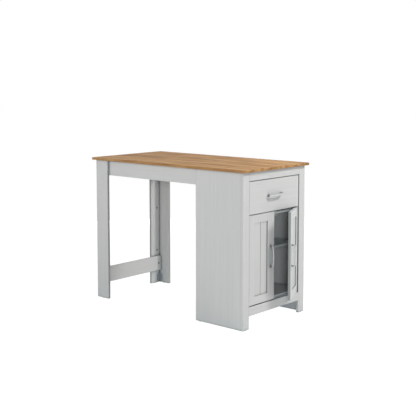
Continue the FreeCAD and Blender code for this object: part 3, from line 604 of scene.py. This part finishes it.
def handle_line(size):
    """Points along the bar's middle line: out along X from each foot, round a corner and over a bow."""
    half = size.span / 2
    lean = math.asin((half - size.corner) / (size.bow - size.corner))
    foot = size.reach - size.bow + (size.bow - size.corner) * math.cos(lean)
    points = [(0.0, half), (foot * 0.5, half), (foot, half)]
    for i in range(1, CORNER_STEPS + 1):
        angle = math.pi / 2 - (math.pi / 2 - lean) * i / CORNER_STEPS
        out = foot + size.corner * math.cos(angle)
        points.append((out, half - size.corner + size.corner * math.sin(angle)))
    for i in range(1, BOW_STEPS):
        angle = lean * (1 - i / BOW_STEPS)
        out = size.reach - size.bow + size.bow * math.cos(angle)
        points.append((out, size.bow * math.sin(angle)))
    points.append((size.reach, 0.0))
    return points + [(out, -along) for out, along in reversed(points[:-1])]


def bow_handle_tree():
    """A flat bar with rounded edges, swept along a line."""
    tree, given = tree_with_inputs("bow_handle", ("Width", "Thickness", "Edge Radius"))
    line = node(tree, "GeometryNodeMeshToCurve", {"Mesh": given.outputs["Geometry"]})
    side = node(tree, "GeometryNodeInputNamedAttribute", {"Name": "side"}, data_type="FLOAT_VECTOR")
    held = node(tree, "GeometryNodeSetCurveNormal", {
        "Curve": line.outputs["Curve"], "Normal": side.outputs["Attribute"]}, mode="FREE")
    flat = node(tree, "GeometryNodeCurvePrimitiveQuadrilateral", {
        "Width": given.outputs["Width"], "Height": given.outputs["Thickness"]})
    section = node(tree, "GeometryNodeFilletCurve", {
        "Curve": flat.outputs["Curve"], "Radius": given.outputs["Edge Radius"], "Count": EDGE_STEPS},
        mode="POLY")
    bar = node(tree, "GeometryNodeCurveToMesh", {
        "Curve": held.outputs["Curve"], "Profile Curve": section.outputs["Curve"], "Fill Caps": True})
    smooth = node(tree, "GeometryNodeSetShadeSmooth", {"Geometry": bar.outputs["Mesh"]})
    finish_tree(tree, given, smooth.outputs["Geometry"])
    return tree


class TABLE_OT_handles(bpy.types.Operator):
    """Sweeps the three bow handles along their lines"""
    bl_idname = "table.handles"
    bl_label = "Bow handles"

    def execute(self, context):
        size = context.scene.table_handles
        door_place = back_middle(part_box("left_door_handle"))
        drawer_place = back_middle(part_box("drawer_handle"))
        upright = Vector((0, 0, 1))
        level = Vector((0, 1, 0))
        turn = ajar_turn()
        jobs = [
            ("drawer", drawer_place, level, upright, Matrix.Identity(4), 1),
            ("left_door", door_place, upright, level, Matrix.Identity(4), 2),
            ("right_door", mirrored(door_place), upright, level, turn, 2),
        ]
        tree = bow_handle_tree()
        for body, place, along, side, move, grain_axis in jobs:
            line = [move @ (place + Vector((out, 0, 0)) + along * step) for out, step in handle_line(size)]
            base = bpy.data.meshes.new(body + "_handle_line")
            base.from_pydata(line, [(i, i + 1) for i in range(len(line) - 1)], [])
            sides = base.attributes.new("side", "FLOAT_VECTOR", "POINT")
            for item in sides.data:
                item.vector = move.to_3x3() @ side
            nickel = handle_nickel(body, grain_axis)
            bar = grown(body + "_bow_handle", base, tree, {
                "Width": size.width, "Thickness": size.thickness, "Edge Radius": size.edge,
                "Material": nickel})
            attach(bar, body)
            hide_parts(body + "_handle")
        return {"FINISHED"}


class TABLE_OT_cams(bpy.types.Operator):
    """Makes the cam locks with their cross recesses"""
    bl_idname = "table.cams"
    bl_label = "Cam locks"

    def execute(self, context):
        size = context.scene.table_fasteners
        cast = mottled("die_cast_zinc", context.scene.table_metals.cast, roughness=0.45, mottle_size=0.9 * MM)
        for name, body in (("cam_locks", "frame"), ("drawer_cams", "drawer")):
            spots = [(place - aim * size.cam_depth, aim) for place, aim in disc_faces(name)]
            discs = cross_heads(body + "_cam_discs", spots, size.cam, size.cam, size.cam_depth,
                                CAM_SLOT, cast)
            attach(discs, body)
            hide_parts(name)
        return {"FINISHED"}


def separate_solids(name):
    """Lowest and highest corner of each loose solid of a CAD node."""
    mesh = frame["nodes"][name].data
    keys = {}
    parent = []

    def root(i):
        while parent[i] != i:
            parent[i] = parent[parent[i]]
            i = parent[i]
        return i

    index = []
    for vertex in mesh.vertices:
        key = tuple(round(c / SAME_POINT) for c in vertex.co)
        if key not in keys:
            keys[key] = len(parent)
            parent.append(len(parent))
        index.append(keys[key])
    for polygon in mesh.polygons:
        first = root(index[polygon.vertices[0]])
        for v in polygon.vertices[1:]:
            parent[root(index[v])] = first
    groups = {}
    for vertex, i in zip(mesh.vertices, index):
        groups.setdefault(root(i), []).append(vertex.co)
    corners = []
    for points in groups.values():
        low = Vector([min(p[k] for p in points) for k in range(3)])
        high = Vector([max(p[k] for p in points) for k in range(3)])
        corners.append((low, high))
    return corners


def disc_faces(name):
    """The outer face of each cam disc: its middle and the way that it faces."""
    depth = bpy.context.scene.table_fasteners.cam_depth
    faces = []
    for low, high in separate_solids(name):
        middle = (low + high) / 2
        axis = min(range(3), key=lambda k: abs((high - low)[k] - depth))
        aim = Vector((0, 0, 0))
        aim[axis] = {0: 1.0, 1: -1.0 if middle.y > 0 else 1.0, 2: -1.0}[axis]
        face = middle.copy()
        face[axis] = high[axis] if aim[axis] > 0 else low[axis]
        faces.append((face, aim))
    return faces


def bracket_screws():
    """Screws of the foot brackets: two in each wing."""
    spots = []
    for low, high in separate_solids("foot_brackets"):
        inward = 1.0 if high.y < 0 else -1.0
        wall = low.y if inward > 0 else high.y
        for rise, out in BRACKET_SCREW_RISES_AND_OUTS:
            z = low.z + rise
            spots.append((Vector((low.x + out, wall + inward * BRACKET_SHEET, z)), Vector((0, inward, 0))))
            spots.append((Vector((low.x + BRACKET_SHEET, wall + inward * out, z)), Vector((1, 0, 0))))
    return spots


def angle_screws():
    """Screws of the top angles: one into the board and one up into the top."""
    spots = []
    for low, high in separate_solids("top_angles"):
        middle = (low + high) / 2
        if abs(middle.y) < END_ANGLE_OFF_MIDDLE:
            inward = Vector((1, 0, 0))
            wall = Vector((low.x, middle.y, 0))
        else:
            inward = Vector((0, -1 if middle.y > 0 else 1, 0))
            wall = Vector((middle.x, high.y if middle.y > 0 else low.y, 0))
        seat = wall + inward * ANGLE_SHEET
        spots.append((Vector((seat.x, seat.y, low.z + ANGLE_SCREW_RISE)), inward))
        under = wall + inward * ANGLE_SCREW_OUT
        spots.append((Vector((under.x, under.y, high.z - ANGLE_SHEET)), Vector((0, 0, -1))))
    return spots


def catch_screws():
    """Two screws up into the board over each door catch."""
    spots = []
    for low, high in separate_solids("door_catches"):
        middle = (low + high) / 2
        for step in (-CATCH_SCREW_STEP, CATCH_SCREW_STEP):
            spots.append((Vector((middle.x, middle.y + step, low.z)), Vector((0, 0, -1))))
    return spots


def handle_screw_spots(body):
    """Head seats on the inner face of a front, behind the feet of its handle."""
    size = bpy.context.scene.table_handles
    node_name = "drawer_handle" if body == "drawer" else "left_door_handle"
    seat = back_middle(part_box(node_name))
    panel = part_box("drawer_front" if body == "drawer" else "left_door_panel")
    seat.x = panel[0].x
    along = Vector((0, 1, 0)) if body == "drawer" else Vector((0, 0, 1))
    spots = []
    for side in (-1, 1):
        spots.append((seat + along * (side * size.span / 2), Vector((-1, 0, 0))))
    if body == "right_door":
        turn = ajar_turn()
        spots = [(turn @ mirrored(place), turn.to_3x3() @ aim) for place, aim in spots]
    return spots


def edge_pin_spots(body):
    """Two small pins near the top of a door's free edge."""
    low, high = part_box("left_door_panel")
    spots = []
    for drop in EDGE_PIN_DROPS:
        spots.append((Vector((low.x + EDGE_PIN_FROM_BACK, high.y, high.z - drop)), Vector((0, 1, 0))))
    if body == "right_door":
        turn = ajar_turn()
        spots = [(turn @ mirrored(place), turn.to_3x3() @ mirrored(aim)) for place, aim in spots]
    return spots


class TABLE_OT_screws(bpy.types.Operator):
    """Sets the screws in brackets, angles, catches and behind the handles, and the pins in the doors"""
    bl_idname = "table.screws"
    bl_label = "Screws"

    def execute(self, context):
        size = context.scene.table_fasteners
        look = context.scene.table_metals
        zinc = metal("zinc_screw", look.zinc, grain_axis=2, roughness=0.32, streak_width=0.6 * MM)
        spots = bracket_screws() + angle_screws() + catch_screws()
        plate = cross_heads("frame_screws", spots, size.plate_screw, size.plate_screw * PLATE_SCREW_CROWN,
                            size.plate_screw_height, PLATE_SCREW_SLOT, zinc)
        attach(plate, "frame")
        for body in ("drawer", "left_door", "right_door"):
            heads = cross_heads(body + "_screw_heads", handle_screw_spots(body), size.handle_screw,
                                size.handle_screw * HANDLE_SCREW_CROWN, size.handle_screw_height,
                                HANDLE_SCREW_SLOT, zinc)
            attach(heads, body)
            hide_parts(body + "_handle_screws")
        dark = mottled("burnished_pins", look.catch, roughness=0.45, mottle_size=0.8 * MM)
        for body in ("left_door", "right_door"):
            pins = cross_heads(body + "_edge_pins", edge_pin_spots(body), size.edge_pin,
                               size.edge_pin * EDGE_PIN_CROWN, EDGE_PIN_HEIGHT, EDGE_PIN_SLOT, dark)
            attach(pins, body)
        return {"FINISHED"}


# Place, aim and width of each light, in metres
KEY = ((2.54, 1.73, 2.88), (0.58, 0.0, 0.5), 0.72)
SIDE = ((-0.5, -2.2, 1.1), (-0.2, 0.0, 0.6), 1.2)
FRONT = ((3.3, -3.05, 1.25), (0.3, 0.0, 0.4), 0.6)
BACK = ((-2.6, 1.9, 0.42), (0.0, 0.0, 0.45), 0.8)

# Half the width of the floor, in metres
FLOOR_HALF = 30.0

# Camera at the photograph's viewing angle: place in metres, angles in degrees, lens and sensor in millimetres
CAMERA_PLACE = (3.4582, -3.8431, 1.3580)
CAMERA_DIP = 5.230
CAMERA_TURN = 41.261
CAMERA_LENS = 75.33
CAMERA_SENSOR = 36.0
CAMERA_SHIFT_Y = -0.12


class TABLE_OT_studio(bpy.types.Operator):
    """Sets the floor, the light and the camera"""
    bl_idname = "table.studio"
    bl_label = "Studio"

    def execute(self, context):
        look = context.scene.table_studio
        self.floor(look)
        self.sky(look)
        self.light("key", KEY, look.key, (1.0, 0.985, 0.96))
        self.light("side", SIDE, look.side, (1.0, 1.0, 1.0))
        self.light("front", FRONT, look.front, (1.0, 1.0, 0.99))
        self.light("back", BACK, look.back, (1.0, 1.0, 1.0))
        self.camera(context)
        context.scene.view_settings.view_transform = "Standard"
        return {"FINISHED"}

    def seen(self, tree):
        """One where the camera, a reflection or a pane of glass looks, and zero where light is gathered."""
        path = node(tree, "ShaderNodeLightPath")
        mirror = node(tree, "ShaderNodeMath", {
            0: path.outputs["Is Glossy Ray"], 1: path.outputs["Is Transmission Ray"]}, operation="MAXIMUM")
        either = node(tree, "ShaderNodeMath", {
            0: path.outputs["Is Camera Ray"], 1: mirror.outputs["Value"]}, operation="MAXIMUM")
        return either.outputs["Value"]

    def floor(self, look):
        """A wide pale floor that the camera sees as white wherever the soft light reaches it unshaded."""
        corners = [(x * FLOOR_HALF, y * FLOOR_HALF, 0) for x, y in ((-1, -1), (1, -1), (1, 1), (-1, 1))]
        mesh = bpy.data.meshes.new("studio_floor")
        mesh.from_pydata(corners, [], [(0, 1, 2, 3)])
        made, tree = blank_material("pale_floor")
        paint = node(tree, "ShaderNodeBsdfDiffuse", {"Color": look.floor})
        tint = [c * look.shade for c in look.floor[:3]] + [1.0]
        shaded = node(tree, "ShaderNodeBsdfDiffuse", {"Color": tint})
        glow = node(tree, "ShaderNodeEmission", {
            "Color": (1, 1, 1, 1), "Strength": 1 - tint[0] * look.ambient})
        pale = node(tree, "ShaderNodeAddShader", {0: glow.outputs["Emission"], 1: shaded.outputs["BSDF"]})
        floor_seen = node(tree, "ShaderNodeMixShader", {
            0: self.seen(tree), 1: paint.outputs["BSDF"], 2: pale.outputs["Shader"]})
        node(tree, "ShaderNodeOutputMaterial", {"Surface": floor_seen.outputs["Shader"]})
        mesh.materials.append(made)
        floor = bpy.data.objects.new("studio_floor", mesh)
        bpy.context.scene.collection.objects.link(floor)

    def sky(self, look):
        """Soft light from all round, and plain white where the camera or a reflection sees past the floor."""
        world = bpy.data.worlds.new("studio")
        world.use_nodes = True
        tree = world.node_tree
        tree.nodes.clear()
        soft = node(tree, "ShaderNodeBackground", {"Color": (1, 1, 0.99, 1), "Strength": look.ambient})
        white = node(tree, "ShaderNodeBackground", {"Color": (1, 1, 1, 1), "Strength": 1.0})
        mix = node(tree, "ShaderNodeMixShader", {
            0: self.seen(tree), 1: soft.outputs["Background"], 2: white.outputs["Background"]})
        node(tree, "ShaderNodeOutputWorld", {"Surface": mix.outputs["Shader"]})
        bpy.context.scene.world = world

    def light(self, name, setting, strength, tone):
        """A square soft box that no reflection shows: its place, the point that it faces and its width."""
        place, aim, width = setting
        lamp = bpy.data.lights.new(name, "AREA")
        lamp.shape = "SQUARE"
        lamp.size = width
        lamp.energy = strength
        lamp.color = tone
        made = bpy.data.objects.new(name, lamp)
        made.visible_glossy = False
        made.location = place
        made.rotation_euler = (Vector(aim) - Vector(place)).to_track_quat("-Z", "Y").to_euler()
        bpy.context.scene.collection.objects.link(made)

    def camera(self, context):
        """A camera that looks a little down at the doors and the left side."""
        data = bpy.data.cameras.new("camera")
        data.sensor_width = CAMERA_SENSOR
        data.lens = CAMERA_LENS
        data.shift_y = CAMERA_SHIFT_Y
        made = bpy.data.objects.new("camera", data)
        made.location = CAMERA_PLACE
        made.rotation_euler = (math.radians(90 - CAMERA_DIP), 0, math.radians(CAMERA_TURN))
        context.scene.collection.objects.link(made)
        context.scene.camera = made


OPERATORS = (
    TABLE_OT_boards, TABLE_OT_top, TABLE_OT_fittings, TABLE_OT_handles, TABLE_OT_cams, TABLE_OT_screws,
    TABLE_OT_studio,
)


class TABLE_PT_panel(bpy.types.Panel):
    """Lists the table's pieces and finishes"""
    bl_idname = "TABLE_PT_panel"
    bl_label = "Table"
    bl_space_type = "VIEW_3D"
    bl_region_type = "UI"
    bl_category = "Table"

    def draw(self, context):
        for operator in OPERATORS:
            self.layout.operator(operator.bl_idname)


CLASSES = (*GROUPS.values(), *OPERATORS, TABLE_PT_panel)


def register():
    for item in CLASSES:
        bpy.utils.register_class(item)
    for name, group in GROUPS.items():
        setattr(bpy.types.Scene, name, PointerProperty(type=group))


def unregister():
    for name in GROUPS:
        delattr(bpy.types.Scene, name)
    for item in reversed(CLASSES):
        bpy.utils.unregister_class(item)


def main():
    register()
    bpy.ops.table.boards()
    bpy.ops.table.top()
    bpy.ops.table.fittings()
    bpy.ops.table.handles()
    bpy.ops.table.cams()
    bpy.ops.table.screws()
    bpy.ops.table.studio()


if __name__ == "__main__":
    main()
